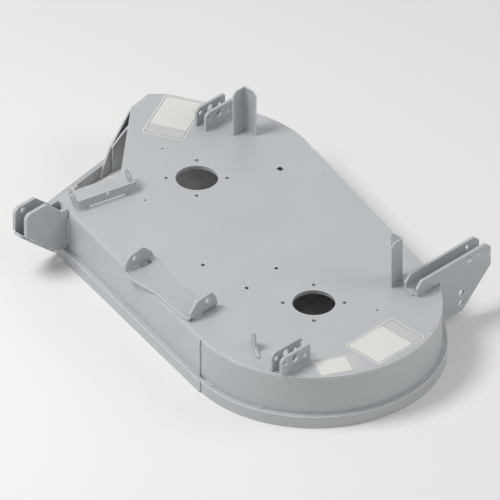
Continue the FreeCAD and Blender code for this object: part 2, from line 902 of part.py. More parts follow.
def spindle_doubler(label, centre):
    body = new_body(label)
    place(body, centre[0], centre[1])
    origin = (dimension(0.0), dimension(0.0))
    disc = new_sketch(body, "disc", "XY_Plane", -sheet_thickness)
    draw_circle(disc, origin, size("doubler_diameter"))
    pad(disc, size("doubler_thickness"), downwards=True)
    holes = new_sketch(body, "holes", "XY_Plane")
    draw_spindle_holes(holes, origin, size("doubler_bore"))
    pocket(holes)


# Front wheel bracket: two side plates, and a sloping sole whose tabs reach under them

sole_run = size("front_bracket_reach") - size("front_bracket_foot")
front_bracket_low = deck_depth - size("band_height") - size("front_bracket_band_gap")
sole_rise = front_bracket_low - size("front_bracket_nose")
sole_angle = arc_tangent(sole_rise / sole_run)
sole_length = root(sole_run * sole_run + sole_rise * sole_rise)


def front_face_at(x):
    """How far forward the face of the skirt is at a given X."""
    normal, offset = front_line
    return (offset - cosine(normal) * x) / sine(normal)


def front_bracket_plate(label, x, wall_y):
    """Both plates share one profile; only the rear edge follows the slanting skirt."""
    body = new_body(label)
    place(body, x, wall_y)
    rear = front_face_at(x) - clearance - wall_y
    reach = -size("front_bracket_reach")
    top = size("front_bracket_top")
    low = -front_bracket_low
    sketch = new_sketch(body, "profile", "YZ_Plane")
    draw_outline(sketch, [
        Corner((rear, low)),
        Corner((rear, size("front_bracket_shoulder_top"))),
        Corner((-size("front_bracket_shoulder"), size("front_bracket_shoulder_top"))),
        Corner((-size("front_bracket_flat"), top)),
        Corner((reach, top), rounded=size("front_bracket_round")),
        Corner((reach, -size("front_bracket_nose"))),
        Corner((-size("front_bracket_foot"), low)),
    ])
    draw_circle(sketch, (-size("front_bracket_hole_reach"), size("front_bracket_hole_rise")),
                size("front_bracket_hole"))
    pad(sketch, size("front_bracket_plate"), downwards=True)

    # Fingers that reach down between the tabs of the sole
    fingers = new_sketch(body, "fingers", "YZ_Plane")
    corner = (-size("front_bracket_foot"), low)
    names = list(SOLE_TABS)
    for lower, upper in zip(names, names[1:]):
        start = size(f"{lower}_place") + size(f"{lower}_length") / 2.0 + clearance
        end = size(f"{upper}_place") - size(f"{upper}_length") / 2.0 - clearance
        middle = shifted(corner, 180.0 - sole_angle, (start + end) / 2.0)
        draw_block(fingers, middle, 90.0 - sole_angle, -size("sole_thickness"), cut_room, end - start)
    pad(fingers, size("front_bracket_plate"), downwards=True)


def front_bracket_sole(left_face, wall_y):
    """Lies in its own frame: -Y runs up the slope, and the face under the plates is Z = 0."""
    body = new_body("front_bracket_sole")
    plate = size("front_bracket_plate")
    gap = size("front_bracket_gap")
    place(body, left_face - plate, wall_y - size("front_bracket_foot"), -front_bracket_low,
          (1, 0, 0), -sole_angle)
    sketch = new_sketch(body, "plan", "XY_Plane")
    inset = clearance / 2.0
    end = -sole_length - size("sole_overhang")
    draw_outline(sketch, [
        Corner((-inset, -size("sole_rear"))),
        Corner((inset - gap, -size("sole_rear"))),
        Corner((inset - gap, end), rounded=size("sole_end_round")),
        Corner((-inset, end), rounded=size("sole_end_round")),
    ])
    pad(sketch, size("sole_thickness"), downwards=True)
    tabs = new_sketch(body, "tabs", "XY_Plane")
    for name in SOLE_TABS:
        half = size(f"{name}_length") / 2.0
        start = -size(f"{name}_place") + half
        end = -size(f"{name}_place") - half
        draw_outline(tabs, [
            Corner((plate, start), rounded=size("sole_tab_round")),
            Corner((-gap - plate, start), rounded=size("sole_tab_round")),
            Corner((-gap - plate, end)),
            Corner((plate, end)),
        ])
    pad(tabs, size("sole_thickness"), downwards=True)


def front_bracket():
    left_face = size("front_bracket_place")
    right_face = left_face - size("front_bracket_plate") - size("front_bracket_gap")
    wall_y = front_face_at(left_face) - clearance
    front_bracket_plate("front_bracket_left_plate", left_face, wall_y)
    front_bracket_plate("front_bracket_right_plate", right_face, wall_y)
    front_bracket_sole(left_face, wall_y)


# Chute hinge bracket: a folded web with two eared ends

def chute_hinge_bracket():
    """Its own frame: X runs to the rear along the web, Y towards the discharge."""
    body = new_body("chute_hinge_bracket")
    origin = on_line(front_line, size("hinge_place"), -size("hinge_inset"))
    place(body, origin[0], origin[1], 0.0, (0, 0, 1), size("front_heading") + 90.0)
    length = size("hinge_length")
    thickness = size("hinge_thickness")
    back = size("hinge_hole_back")
    ear_round = size("hinge_ear_round")
    rise = size("hinge_hole_rise")
    ear_end = back + ear_round
    outer_bend = thickness + thickness
    plan = new_sketch(body, "plan", "XY_Plane")
    draw_outline(plan, [
        Corner((0.0, 0.0), rounded=outer_bend),
        Corner((length, 0.0), rounded=outer_bend),
        Corner((length, ear_end)),
        Corner((length - thickness, ear_end)),
        Corner((length - thickness, thickness), rounded=thickness),
        Corner((thickness, thickness), rounded=thickness),
        Corner((thickness, ear_end)),
        Corner((0.0, ear_end)),
    ])
    pad(plan, rise + ear_round)

    # Ears round the hinge pin, and the lower web between them
    ears = new_sketch(body, "ears", "YZ_Plane")
    hole = (back, rise)
    shoulder = polar(hole, size("hinge_shoulder"), ear_round)
    draw_outline(ears, [
        Corner((-cut_room, size("hinge_web_top"))),
        Corner((thickness, size("hinge_web_top"))),
        Corner(shoulder, arc=ear_round, clockwise=True),
        Corner((ear_end, rise)),
        Corner((ear_end, size("hinge_heel_rise")), rounded=size("hinge_heel_round")),
        Corner((size("hinge_heel"), 0.0)),
        Corner((size("hinge_heel"), -cut_room)),
        Corner((ear_end + cut_room, -cut_room)),
        Corner((ear_end + cut_room, rise + ear_round + cut_room)),
        Corner((-cut_room, rise + ear_round + cut_room)),
    ])
    pocket(ears)
    pins = new_sketch(body, "pin_holes", "YZ_Plane")
    draw_circle(pins, hole, size("hinge_hole"))
    pocket(pins)

    # Feet at the ends, and the notch in the middle of the top edge
    relief = new_sketch(body, "relief", "XZ_Plane")
    foot = size("hinge_foot_length")
    draw_outline(relief, [
        Corner((foot, -cut_room)),
        Corner((length - foot, -cut_room)),
        Corner((length - foot, size("hinge_foot_rise"))),
        Corner((foot, size("hinge_foot_rise"))),
    ])
    middle = (length / 2.0, size("hinge_web_top"))
    draw_block(relief, middle, 90.0, -size("hinge_notch_depth"), cut_room, size("hinge_notch_width"))
    pocket(relief)


# Front hanger saddle: a folded web on the deck with an upright ear at each end

def ear_cut(body, name, start, depth, front, length, top, profile):
    """Cuts one ear to its side profile. The profile is given in shares of its length and height."""
    sketch = new_sketch(body, name, "YZ_Plane", start)
    rise = size("saddle_thickness")
    corners = [Corner((front - cut_room, rise)), Corner((front, rise))]
    for along, up, rounded in profile:
        point = (front + length * along, rise + (top - rise) * up)
        corners.append(Corner(point, rounded=dimension(rounded) if rounded else None))
    corners += [
        Corner((front + length, rise)),
        Corner((front + length + cut_room, rise)),
        Corner((front + length + cut_room, top + cut_room)),
        Corner((front - cut_room, top + cut_room)),
    ]
    draw_outline(sketch, corners)
    pocket(sketch, depth, along_normal=True)


def hanger_saddle():
    """Measured to the rear from where the face of the skirt crosses X = 0."""
    body = new_body("hanger_saddle")
    place(body, 0.0, front_face_at(0.0))
    right = size("saddle_right")
    left = size("saddle_left")
    thickness = size("saddle_thickness")
    bend = bend_inside
    right_front = size("right_ear_front")
    left_front = size("left_ear_front")
    right_rear = right_front + size("right_ear_length")
    left_rear = left_front + size("left_ear_length")
    top = size("right_ear_top")

    # Channel section, folded up at both ends
    rear = new_sketch(body, "section", "XZ_Plane", -(right_rear + cut_room))
    draw_outline(rear, [
        Corner((right, 0.0), rounded=bend + thickness),
        Corner((left, 0.0), rounded=bend + thickness),
        Corner((left, top)),
        Corner((left - thickness, top)),
        Corner((left - thickness, thickness), rounded=bend),
        Corner((right + thickness, thickness), rounded=bend),
        Corner((right + thickness, top)),
        Corner((right, top)),
    ])
    pad(rear, right_rear - left_front + cut_room + cut_room)

    # Plan of the blank: what lies outside it is cut away
    plan = new_sketch(body, "plan", "XY_Plane")
    waist = size("saddle_waist")
    front_edge = left_front - cut_room - cut_room
    rear_edge = right_rear + cut_room + cut_room
    draw_outline(plan, [
        Corner((right - cut_room, right_rear)),
        Corner((right + thickness + bend, right_rear)),
        Corner((right + size("saddle_rear_neck"), left_rear - size("saddle_rear_step")), rounded=waist),
        Corner((left - thickness - bend, left_rear - size("saddle_rear_step"))),
        Corner((left - thickness, left_rear)),
        Corner((left + cut_room, left_rear)),
        Corner((left + cut_room, rear_edge)),
        Corner((right - cut_room, rear_edge)),
    ])
    draw_outline(plan, [
        Corner((right - cut_room, right_front)),
        Corner((right - cut_room, front_edge)),
        Corner((left + cut_room, front_edge)),
        Corner((left + cut_room, left_front)),
        Corner((left - thickness - bend, left_front)),
        Corner((right + size("saddle_front_neck"), right_front - size("saddle_front_step")), rounded=waist),
        Corner((right + thickness + bend, right_front - size("saddle_front_step"))),
        Corner((right + thickness, right_front)),
    ])
    pocket(plan)

    depth = thickness + bend + cut_room + cut_room
    ear_cut(body, "right_ear", right - cut_room, depth, right_front, size("right_ear_length"),
            top, RIGHT_EAR)
    ear_cut(body, "left_ear", left - depth + cut_room, depth, left_front, size("left_ear_length"),
            size("left_ear_top"), LEFT_EAR)
    pins = new_sketch(body, "pin_holes", "YZ_Plane")
    draw_circle(pins, (size("saddle_hole_line"), size("saddle_hole_rise")), size("saddle_hole"))
    pocket(pins)

    # Each bend has a window, where a tab of the ear goes straight down to the deck
    window = bend + size("saddle_window")
    length = size("saddle_tab_length")
    right_tab = (right + thickness, size("right_ear_tab_place"))
    left_tab = (left - thickness, size("left_ear_tab_place"))
    windows = new_sketch(body, "windows", "XY_Plane")
    draw_block(windows, right_tab, 0.0, 0.0, window, length)
    draw_block(windows, left_tab, 180.0, 0.0, window, length)
    pocket(windows, thickness + bend, along_normal=True)
    tabs = new_sketch(body, "tabs", "XY_Plane")
    draw_block(tabs, right_tab, 180.0, 0.0, thickness, length)
    draw_block(tabs, left_tab, 0.0, 0.0, thickness, length)
    pad(tabs, size("saddle_tab_top"))


# Lift lugs, all four alike

def lift_lug(label, x, y):
    body = new_body(label)
    place(body, x, y)
    length = size("lug_length")
    height = size("lug_height")
    sketch = new_sketch(body, "profile", "YZ_Plane")
    draw_outline(sketch, [
        Corner((0.0, 0.0)),
        Corner((length, 0.0)),
        Corner((length, height), rounded=size("lug_rear_round")),
        Corner((0.0, height), rounded=size("lug_front_round")),
    ])
    rise = size("lug_hole_rise")
    draw_circle(sketch, (size("lug_hole_front"), rise), size("lug_end_hole"))
    draw_circle(sketch, (size("lug_hole_middle"), rise), size("lug_middle_hole"))
    draw_circle(sketch, (size("lug_hole_rear"), size("lug_rear_hole_rise")), size("lug_end_hole"))
    pad(sketch, size("lug_thickness"), downwards=True)


def lift_lugs():
    pitch = size("lug_thickness") + size("lug_gap")
    rear = (size("rear_lug_across"), wall_radius - size("rear_lug_inset"))
    front = (left_spindle[0] + size("front_lug_across"),
             left_spindle[1] - wall_radius + size("front_lug_inset"))
    for name, (x, y) in (("rear_lug", rear), ("front_lug", front)):
        lift_lug(f"{name}_left", x, y)
        lift_lug(f"{name}_right", x - pitch, y)


# Guard angles: light folded uprights, the left one a mirror image of the right

def guard_angle(label, x, y, hand):
    body = new_body(label)
    place(body, x, y)
    leg = size("guard_leg")
    thickness = size("guard_thickness")
    bend = size("guard_bend")
    height = size("guard_height")
    cut = size("guard_corner_cut")
    plan = new_sketch(body, "plan", "XY_Plane")
    draw_outline(plan, [
        Corner((0.0, 0.0), rounded=bend + thickness),
        Corner((0.0, -leg)),
        Corner((thickness * hand, -leg)),
        Corner((thickness * hand, -thickness), rounded=bend),
        Corner((leg * hand, -thickness)),
        Corner((leg * hand, 0.0)),
    ])
    pad(plan, height)
    across = new_sketch(body, "corner_across", "XZ_Plane")
    draw_outline(across, [
        Corner(((leg - cut) * hand, height)),
        Corner((leg * hand, height - cut)),
        Corner(((leg + cut) * hand, height + cut)),
    ])
    pocket(across)
    along = new_sketch(body, "corner_along", "YZ_Plane")
    draw_outline(along, [
        Corner((cut - leg, height)),
        Corner((-leg, height - cut)),
        Corner((-leg - cut, height + cut)),
    ])
    pocket(along)


# Rear wheel bracket: an outer gusset and a folded channel side tabbed into it

rear_bracket_x = left_spindle[0] + size("rear_bracket_across")
rear_bracket_front = left_spindle[1] + wall_radius - size("rear_bracket_inset")


def rear_bracket_gusset():
    body = new_body("rear_bracket_gusset")
    place(body, rear_bracket_x, rear_bracket_front)
    plate = size("rear_bracket_plate")
    length = size("rear_bracket_length")
    top = size("rear_bracket_top")
    step = size("rear_bracket_step")
    step_rise = size("rear_bracket_step_rise")

    # Where the face of the curved wall, and of the band round it, crosses the inner face of the plate
    across = size("rear_bracket_across") - plate
    wall_y = left_spindle[1] + root(wall_radius * wall_radius - across * across)
    wall_edge = wall_y + clearance - rear_bracket_front
    band_outer = wall_radius + size("band_thickness")
    band_y = left_spindle[1] + root(band_outer * band_outer - across * across)
    band_edge = band_y + size("gusset_band_gap") - rear_bracket_front
    band_top = size("band_height") - deck_depth + size("gusset_band_gap")
    sketch = new_sketch(body, "profile", "YZ_Plane")
    draw_outline(sketch, [
        Corner((0.0, 0.0)),
        Corner((step, 0.0)),
        Corner((step, step_rise)),
        Corner((wall_edge, step_rise)),
        Corner((wall_edge, band_top)),
        Corner((band_edge, band_top)),
        Corner((band_edge + size("gusset_low_step"), -size("gusset_low"))),
        Corner((size("gusset_low_rear"), -size("gusset_low"))),
        Corner((length, -size("gusset_rear_low"))),
        Corner((length, top - size("rear_bracket_nose_cut"))),
        Corner((length - size("rear_bracket_nose_cut"), top)),
        Corner((size("rear_bracket_nose_cut"), top)),
        Corner((0.0, size("rear_bracket_nose"))),
    ])
    upper = size("upper_hole_rise")
    draw_circle(sketch, (size("axle_hole_place"), upper), size("axle_hole"))
    draw_circle(sketch, (size("pin_hole_place"), upper), size("pin_hole"))
    draw_circle(sketch, (size("wheel_hole_place"), -size("wheel_hole_high")), size("wheel_hole"))
    draw_circle(sketch, (size("wheel_hole_place"), -size("wheel_hole_low")), size("wheel_hole"))
    pad(sketch, plate, downwards=True)

    # Slots for the tabs of the channel, the rear one open to the edge
    slots = new_sketch(body, "slots", "YZ_Plane")
    tab = size("channel_tab_length")
    slot_top = plate + slot_clearance
    slot = tab + slot_clearance + slot_clearance
    middle = (size("channel_tab_place"), dimension(0.0))
    draw_block(slots, middle, 90.0, -slot_clearance, slot_top, slot)
    rear = (length - tab / 2.0 + cut_room / 2.0, dimension(0.0))
    draw_block(slots, rear, 90.0, -slot_clearance, slot_top, slot + cut_room)
    pocket(slots)


def rear_bracket_channel():
    """Folded L: an upright side and a web that lies on the deck and reaches the gusset."""
    body = new_body("rear_bracket_channel")
    place(body, rear_bracket_x, rear_bracket_front)
    plate = size("rear_bracket_plate")
    gap = size("rear_bracket_gap")
    length = size("rear_bracket_length")
    top = size("rear_bracket_top")
    far = -(plate + gap + plate)
    near = -(plate + clearance)
    section = new_sketch(body, "section", "XZ_Plane")
    draw_outline(section, [
        Corner((near, 0.0)),
        Corner((near, plate)),
        Corner((far + plate, plate), rounded=bend_inside),
        Corner((far + plate, top)),
        Corner((far, top)),
        Corner((far, 0.0), rounded=bend_inside + plate),
    ])
    pad(section, length, downwards=True)

    # Cut corners of the upright side, like those of the gusset
    cut = size("rear_bracket_nose_cut")
    corners = new_sketch(body, "corners", "YZ_Plane")
    draw_outline(corners, [
        Corner((-cut_room, size("rear_bracket_nose"))),
        Corner((0.0, size("rear_bracket_nose"))),
        Corner((cut, top)),
        Corner((cut, top + cut_room)),
        Corner((-cut_room, top + cut_room)),
    ])
    draw_outline(corners, [
        Corner((length + cut_room, top - cut)),
        Corner((length + cut_room, top + cut_room)),
        Corner((length - cut, top + cut_room)),
        Corner((length - cut, top)),
        Corner((length, top - cut)),
    ])
    draw_circle(corners, (size("pin_hole_place"), size("upper_hole_rise")), size("pin_hole"))
    pocket(corners)

    # Tabs that pass through the gusset
    tabs = new_sketch(body, "tabs", "XY_Plane")
    tab = size("channel_tab_length")
    tab_end = -size("tab_recess")
    draw_block(tabs, (tab_end, size("channel_tab_place")), 180.0, 0.0, plate + clearance, tab)
    draw_block(tabs, (tab_end, length - tab / 2.0), 180.0, 0.0, plate + clearance, tab)
    pad(tabs, plate)

    drain = new_sketch(body, "drain", "XY_Plane")
    drain_x = far + plate + bend_inside + size("channel_drain_hole")
    draw_circle(drain, (drain_x, size("channel_drain_front")), size("channel_drain_hole"))
    pocket(drain)


# Spring anchor: an upright plate with a hooked tall end

def spring_anchor():
    """Its own frame: X runs from the tall end to the tail."""
    body = new_body("spring_anchor")
    x = left_spindle[0] + size("anchor_across")
    y = front_face_at(x) + size("anchor_inset")
    place(body, x, y, 0.0, (0, 0, 1), size("anchor_heading"))
    length = size("anchor_length")
    height = size("anchor_height")
    horn = size("anchor_horn_rear")
    width = size("anchor_horn_width")
    neck = size("anchor_neck_rise")
    sketch = new_sketch(body, "profile", "XZ_Plane", -(size("anchor_thickness") / 2.0))
    draw_outline(sketch, [
        Corner((0.0, 0.0)),
        Corner((length, 0.0)),
        Corner((length, size("anchor_tail"))),
        Corner((size("anchor_toe_reach"), size("anchor_toe_rise")), rounded=neck),
        Corner((horn + width, height), rounded=size("anchor_horn_round")),
        Corner((horn + width / 2.0, height), rounded=size("anchor_horn_round")),
        Corner((horn, height - width / 2.0)),
        Corner((horn, neck)),
    ])
    pad(sketch, size("anchor_thickness"))


# Bare label plates on the top face

def label_plate(name):
    body = new_body(name)
    x, y = measured_place(name)
    place(body, x, y, 0.0, (0, 0, 1), size(f"{name}_heading"))
    length = size(f"{name}_length")
    width = size(f"{name}_width")
    rounded = size(f"{name}_round")
    sketch = new_sketch(body, "plan", "XY_Plane")
    draw_outline(sketch, [
        Corner((0.0, 0.0), rounded=rounded),
        Corner((length, 0.0), rounded=rounded),
        Corner((length, width), rounded=rounded),
        Corner((0.0, width), rounded=rounded),
    ])
    pad(sketch, size("label_thickness"))


def check_model():
    """Every object must be sound, every cut must remove metal, every piece must be one valid solid."""
    for item in doc.Objects:
        if "Invalid" in item.State or "Error" in item.State:
            raise RuntimeError(f"{item.Name} failed: {item.State}")
    for item in doc.Objects:
        if item.TypeId == "PartDesign::Pocket":
            before = item.BaseFeature.Shape.Volume
            if item.Shape.Volume > before - 1.0:
                raise RuntimeError(f"{item.Name} cuts nothing")
    bodies = [item for item in doc.Objects if item.TypeId == "PartDesign::Body"]
    for body in bodies:
        if body.Shape.isNull() or not body.Shape.isValid() or len(body.Shape.Solids) != 1:
            raise RuntimeError(f"{body.Label} is not one valid solid")
    return bodies


fill_sheet()
deck_plate()
left_chamber_wall()
right_chamber_wall()
rear_wall()
right_rear_wall()
discharge_front_return()
bands()
spindle_doubler("right_spindle_doubler", right_spindle)
spindle_doubler("left_spindle_doubler", left_spindle)
front_bracket()
chute_hinge_bracket()
hanger_saddle()
lift_lugs()
guard_angle("right_guard_angle", size("right_guard_across"), size("right_guard_along"), 1.0)
guard_angle("left_guard_angle", left_spindle[0] + size("left_guard_across"),
            left_spindle[1] + size("left_guard_along"), -1.0)
rear_bracket_gusset()
rear_bracket_channel()
spring_anchor()
for label_name in LABELS:
    label_plate(label_name)

doc.recompute()
for node in check_model():
    node.Shape.exportStep(f"parts/{node.Label}.step")
    print(node.Label, round(node.Shape.Volume), "mm3")
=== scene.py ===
import bmesh
import bpy
import json
import math
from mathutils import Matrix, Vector
from mathutils.bvhtree import BVHTree


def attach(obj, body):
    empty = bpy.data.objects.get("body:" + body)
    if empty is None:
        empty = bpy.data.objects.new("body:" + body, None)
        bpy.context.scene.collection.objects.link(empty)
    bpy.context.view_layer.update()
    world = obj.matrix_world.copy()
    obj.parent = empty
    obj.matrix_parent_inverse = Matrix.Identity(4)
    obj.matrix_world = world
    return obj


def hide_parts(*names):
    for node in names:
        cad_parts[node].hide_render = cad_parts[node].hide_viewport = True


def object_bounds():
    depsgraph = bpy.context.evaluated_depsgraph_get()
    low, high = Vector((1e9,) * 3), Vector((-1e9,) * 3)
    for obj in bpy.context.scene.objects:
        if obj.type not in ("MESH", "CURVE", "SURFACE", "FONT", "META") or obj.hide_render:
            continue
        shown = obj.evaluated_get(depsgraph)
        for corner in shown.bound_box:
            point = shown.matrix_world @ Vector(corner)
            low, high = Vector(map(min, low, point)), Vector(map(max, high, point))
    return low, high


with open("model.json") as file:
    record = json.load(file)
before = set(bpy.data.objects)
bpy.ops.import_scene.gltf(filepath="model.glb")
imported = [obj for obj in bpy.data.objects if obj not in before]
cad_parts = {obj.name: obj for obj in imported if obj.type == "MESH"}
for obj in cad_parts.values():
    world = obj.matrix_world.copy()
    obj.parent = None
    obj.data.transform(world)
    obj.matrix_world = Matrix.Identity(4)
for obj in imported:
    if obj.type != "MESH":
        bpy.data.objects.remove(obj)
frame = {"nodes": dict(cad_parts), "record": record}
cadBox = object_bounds()

# Powder coated lawn mower deck of welded steel. Metres, Z up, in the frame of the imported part:
# the origin is the right spindle's axis at the top face of the deck plate.


def linearColor(hexText):
    channels = [int(hexText[place:place + 2], 16) / 255 for place in (0, 2, 4)]
    return tuple(c / 12.92 if c <= 0.04045 else ((c + 0.055) / 1.055) ** 2.4 for c in channels) + (1.0,)


def addNode(tree, kind, inputs=None, **settings):
    # An input is a value, a socket, or a node, which stands for its first output
    node = tree.nodes.new(kind)
    for name, value in settings.items():
        setattr(node, name, value)
    for socket, value in (inputs or {}).items():
        if isinstance(value, bpy.types.Node):
            value = value.outputs[0]
        if isinstance(value, bpy.types.NodeSocket):
            tree.links.new(value, node.inputs[socket])
        else:
            node.inputs[socket].default_value = value
    return node


def emptyMaterial(name):
    material = bpy.data.materials.new(name)
    material.use_nodes = True
    material.node_tree.nodes.clear()
    return material, material.node_tree


# Powder coat

powderCoat = {
    "deckColor": "BBBEC1",       # light grey, as the drawing gives no colour
    "bracketColor": "B2B6BA",
    "edgeHighlightColor": "E0E3E5",       # painted highlight: rounded cut edges paler than the flat film, for the shine along them
    "ior": 1.5,
    "roughness": (0.33, 0.45),
    "roughSpan": (0.3, 0.7),     # heights of the orange peel between which the roughness changes
    "peelSize": 0.0035,          # orange peel, 3 to 4 mm from crest to crest
    "peelDepth": 0.00009,
    "peelDetail": 1.0,
    "peelRoughness": 0.4,
    "grainSize": 0.0006,         # fine grain of the cured powder
    "grainDepth": 0.00002,
    "grainDetail": 1.0,
    "mottleColor": "B0B4B8",     # soft patches where the film is a little thicker
    "mottleSize": 0.14,
    "mottleDetail": 2.0,
    "mottleShare": 0.35,
    "mottleSpan": (0.35, 0.65),  # noise values between which a patch fades in
}

firstColor, secondColor, mixedColor = 6, 7, 2    # places of a Mix node's colour sockets


def powderCoatMaterial(name, color):
    # Polyester powder coat, sprayed and baked: satin, with orange peel that breaks up its reflections
    material, tree = emptyMaterial(name)
    place = addNode(tree, "ShaderNodeTexCoord").outputs["Object"]
    mottle = addNode(tree, "ShaderNodeTexNoise", {
        "Vector": place, "Scale": 1 / powderCoat["mottleSize"], "Detail": powderCoat["mottleDetail"]})
    bare, full = powderCoat["mottleSpan"]
    patch = addNode(tree, "ShaderNodeMapRange", {
        "Value": mottle.outputs["Fac"], "From Min": bare, "From Max": full,
        "To Max": powderCoat["mottleShare"]})
    flatFilm = addNode(tree, "ShaderNodeMix", {
        "Factor": patch.outputs["Result"], firstColor: linearColor(color),
        secondColor: linearColor(powderCoat["mottleColor"])}, data_type="RGBA")
    # The rounded cut edges are painted paler than the flat film, a painted highlight along the rims
    paintedEdgeHighlight = addNode(tree, "ShaderNodeAttribute", attribute_name="paintedEdgeHighlight")
    film = addNode(tree, "ShaderNodeMix", {
        "Factor": paintedEdgeHighlight.outputs["Fac"], firstColor: flatFilm.outputs[mixedColor],
        secondColor: linearColor(powderCoat["edgeHighlightColor"])}, data_type="RGBA")
    peel = addNode(tree, "ShaderNodeTexNoise", {
        "Vector": place, "Scale": 1 / powderCoat["peelSize"], "Detail": powderCoat["peelDetail"],
        "Roughness": powderCoat["peelRoughness"]})
    grain = addNode(tree, "ShaderNodeTexNoise", {
        "Vector": place, "Scale": 1 / powderCoat["grainSize"], "Detail": powderCoat["grainDetail"]})
    grainBump = addNode(tree, "ShaderNodeBump", {
        "Height": grain.outputs["Fac"], "Distance": powderCoat["grainDepth"]})
    peelBump = addNode(tree, "ShaderNodeBump", {
        "Height": peel.outputs["Fac"], "Distance": powderCoat["peelDepth"],
        "Normal": grainBump.outputs["Normal"]})
    low, high = powderCoat["roughSpan"]
    glossy, dull = powderCoat["roughness"]
    gloss = addNode(tree, "ShaderNodeMapRange", {
        "Value": peel.outputs["Fac"], "From Min": low, "From Max": high,
        "To Min": glossy, "To Max": dull})
    shader = addNode(tree, "ShaderNodeBsdfPrincipled", {
        "Base Color": film.outputs[mixedColor], "Roughness": gloss.outputs["Result"],
        "IOR": powderCoat["ior"], "Normal": peelBump.outputs["Normal"]})
    addNode(tree, "ShaderNodeOutputMaterial", {"Surface": shader.outputs["BSDF"]})
    return material


deckCoat = powderCoatMaterial("powderCoatOnSheet", powderCoat["deckColor"])
bracketCoat = powderCoatMaterial("powderCoatOnPlate", powderCoat["bracketColor"])
weldCoat = powderCoatMaterial("powderCoatOnWeld", powderCoat["bracketColor"])
print("powder coats mixed")


# Coated plates and sheets

edgeRound = {
    "width": 0.0008,                 # laser cut edges, deburred and coated
    "segments": 2,
    "profile": 0.5,                  # a quarter circle
    "sharpest": math.radians(28.0),  # edges that turn more than this are rounded
    "smooth": math.radians(40.0),    # edges that turn more than this stay crisp in the shading
    "merge": 0.00005,                # corners closer than this are one
    "flat": math.radians(0.4),       # faces that turn less than this are one
}

deckNodes = (
    "deck_plate", "left_chamber_wall", "right_chamber_wall", "rear_wall", "right_rear_wall",
    "discharge_front_return", "front_band", "left_band", "rear_band", "right_band",
    "right_spindle_doubler", "left_spindle_doubler",
)
bracketNodes = (
    "front_bracket_left_plate", "front_bracket_right_plate", "front_bracket_sole",
    "chute_hinge_bracket", "hanger_saddle", "rear_lug_left", "rear_lug_right",
    "front_lug_left", "front_lug_right", "right_guard_angle", "left_guard_angle",
    "rear_bracket_gusset", "rear_bracket_channel", "spring_anchor",
)


def camelName(node):
    first, *others = node.split("_")
    return first + "".join(word.capitalize() for word in others)


def mergedCopy(node):
    mesh = bmesh.new()
    mesh.from_mesh(frame["nodes"][node].data)
    bmesh.ops.remove_doubles(mesh, verts=mesh.verts, dist=edgeRound["merge"])
    bmesh.ops.dissolve_degenerate(mesh, edges=mesh.edges, dist=edgeRound["merge"])
    bmesh.ops.dissolve_limit(mesh, angle_limit=edgeRound["flat"], verts=mesh.verts, edges=mesh.edges)
    return mesh


def addObject(name, data):
    piece = bpy.data.objects.new(name, data)
    bpy.context.scene.collection.objects.link(piece)
    return piece


def applyModifiers(piece):
    graph = bpy.context.evaluated_depsgraph_get()
    finished = bpy.data.meshes.new_from_object(piece.evaluated_get(graph))
    piece.modifiers.clear()
    piece.data = finished


def coatedPiece(node, material):
    mesh = mergedCopy(node)
    paintedEdgeHighlight = mesh.faces.layers.float.new("paintedEdgeHighlight")
    sharp = [edge for edge in mesh.edges
             if edge.is_manifold and edge.calc_face_angle() > edgeRound["sharpest"]]
    rounded = bmesh.ops.bevel(mesh, geom=sharp, offset=edgeRound["width"], offset_type="OFFSET",
                              segments=edgeRound["segments"], profile=edgeRound["profile"],
                              affect="EDGES")
    # The rounded faces are marked to take the paler colour of the painted edge highlight
    for face in rounded["faces"]:
        face[paintedEdgeHighlight] = 1.0
    for face in mesh.faces:
        face.smooth = True
    data = bpy.data.meshes.new(camelName(node))
    mesh.to_mesh(data)
    mesh.free()
    data.materials.append(material)
    data.set_sharp_from_angle(angle=edgeRound["smooth"])
    piece = addObject(camelName(node), data)
    piece.modifiers.new("weightedNormal", "WEIGHTED_NORMAL").keep_sharp = True
    applyModifiers(piece)
    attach(piece, "root")
    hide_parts(node)


for node in deckNodes:
    coatedPiece(node, deckCoat)
for node in bracketNodes:
    coatedPiece(node, bracketCoat)
print("plates and sheets coated", len(deckNodes) + len(bracketNodes))


# Labels

label = {
    "filmColor": "DEDEDA",
    "inkColor": "3A3D40",
    "fieldColor": "C4C6C6",
    "large": (0.0035, 0.0012),   # bare film round the printed border, and the width of its line
    "small": (0.0020, 0.0009),
    "band": 0.24,                # share of the length that the plain field at the head takes
    "ior": 1.46,
    "roughness": 0.42,
    "grainSize": 0.0008,
    "grainDepth": 0.000015,
    "grainDetail": 2.0,
}

labelBorders = {"discharge_label": "large", "left_label": "large", "small_label": "small"}
filmSlot, inkSlot, fieldSlot = range(3)


def vinylMaterial(name, color):
    # Printed vinyl film with a matt overlaminate: even colour and a soft, slightly grainy sheen
    material, tree = emptyMaterial(name)
    place = addNode(tree, "ShaderNodeTexCoord").outputs["Object"]
    grain = addNode(tree, "ShaderNodeTexNoise", {
        "Vector": place, "Scale": 1 / label["grainSize"], "Detail": label["grainDetail"]})
    bump = addNode(tree, "ShaderNodeBump", {
        "Height": grain.outputs["Fac"], "Distance": label["grainDepth"]})
    shader = addNode(tree, "ShaderNodeBsdfPrincipled", {
        "Base Color": linearColor(color), "Roughness": label["roughness"], "IOR": label["ior"],
        "Normal": bump.outputs["Normal"]})
    addNode(tree, "ShaderNodeOutputMaterial", {"Surface": shader.outputs["BSDF"]})
    return material


labelCoats = [vinylMaterial("vinylFilm", label["filmColor"]),
              vinylMaterial("vinylInk", label["inkColor"]),
              vinylMaterial("vinylField", label["fieldColor"])]


def longestWay(face):
    edge = max(face.edges, key=lambda side: side.calc_length())
    return (edge.verts[1].co - edge.verts[0].co).normalized()


